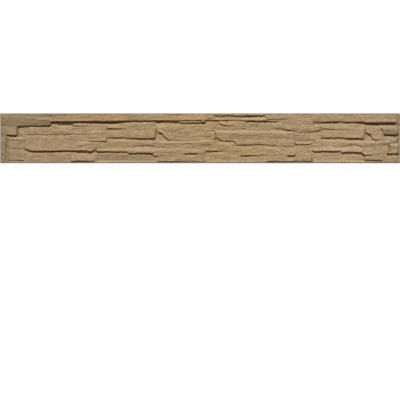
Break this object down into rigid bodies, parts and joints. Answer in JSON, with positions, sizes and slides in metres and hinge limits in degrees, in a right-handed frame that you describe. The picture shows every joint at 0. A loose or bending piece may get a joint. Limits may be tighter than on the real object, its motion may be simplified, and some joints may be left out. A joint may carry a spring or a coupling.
{
  "type": "concrete gravel board",
  "caption": "Long cast-concrete fence base board with a split-stone relief face and a stamped stone-joint back; slides between slotted posts at ground level.",
  "frame": {"origin": "middle of the flat back, which lies on the ground", "axes": "+X along the board, +Y towards the edge that is uppermost in the fence, +Z out of the relief face"},
  "size_m": [2, 0.25, 0.05],
  "materials": {
    "concrete": "sandy tan cast concrete, matt and finely pitted, greyer along the worn arrises and darker in the joints"
  },
  "bodies": {
    "root": {"gravel_board": "concrete"}
  },
  "joints": []
}
